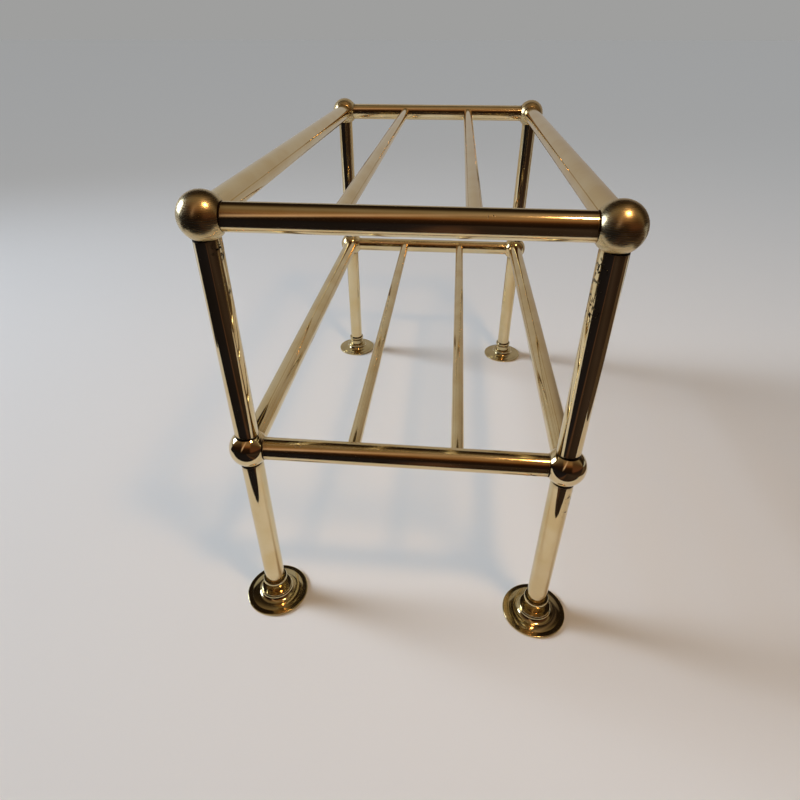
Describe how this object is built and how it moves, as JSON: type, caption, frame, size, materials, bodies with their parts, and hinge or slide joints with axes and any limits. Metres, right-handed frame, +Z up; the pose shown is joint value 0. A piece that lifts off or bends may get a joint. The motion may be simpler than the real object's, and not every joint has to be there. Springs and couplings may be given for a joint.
{
  "type": "magazine rack",
  "caption": "Open two-tier magazine rack of polished brass tube with ball joints at the corners, thinner bars along each tier and round flanged feet.",
  "frame": {"origin": "on the floor, in the middle of the footprint of the four feet", "axes": "+Z up; +X along the short end rails, to the right seen from the front end; +Y along the side rails, to the back end"},
  "size_m": [0.37, 0.67, 0.459],
  "materials": {
    "brass_tube": "polished and lacquered drawn tube",
    "brass_bar": "polished and lacquered thin tube",
    "brass_ball": "turned and buffed ball",
    "brass_foot": "turned and polished flange",
    "brass_dowel": "turned, unpolished",
    "plated_steel": "zinc-plated steel"
  },
  "bodies": {
    "root": {"top_ball_front_left": "brass_ball", "lower_ball_front_left": "brass_ball", "upper_post_front_left": "brass_tube", "leg_front_left": "brass_tube", "foot_front_left": "brass_foot", "tie_rod_front_left": "plated_steel", "top_ball_front_right": "brass_ball", "lower_ball_front_right": "brass_ball", "upper_post_front_right": "brass_tube", "leg_front_right": "brass_tube", "foot_front_right": "brass_foot", "tie_rod_front_right": "plated_steel", "top_ball_back_left": "brass_ball", "lower_ball_back_left": "brass_ball", "upper_post_back_left": "brass_tube", "leg_back_left": "brass_tube", "foot_back_left": "brass_foot", "tie_rod_back_left": "plated_steel", "top_ball_back_right": "brass_ball", "lower_ball_back_right": "brass_ball", "upper_post_back_right": "brass_tube", "leg_back_right": "brass_tube", "foot_back_right": "brass_foot", "tie_rod_back_right": "plated_steel", "top_end_rail_front": "brass_tube", "top_end_rail_back": "brass_tube", "top_side_rail_left": "brass_tube", "top_bar_left": "brass_bar", "top_side_rail_right": "brass_tube", "top_bar_right": "brass_bar", "top_rail_dowels": "brass_dowel", "lower_end_rail_front": "brass_tube", "lower_end_rail_back": "brass_tube", "lower_side_rail_left": "brass_tube", "lower_bar_left": "brass_bar", "lower_side_rail_right": "brass_tube", "lower_bar_right": "brass_bar", "lower_rail_dowels": "brass_dowel", "tie_rod_nuts": "plated_steel", "tie_rod_washers": "plated_steel"}
  },
  "joints": []
}
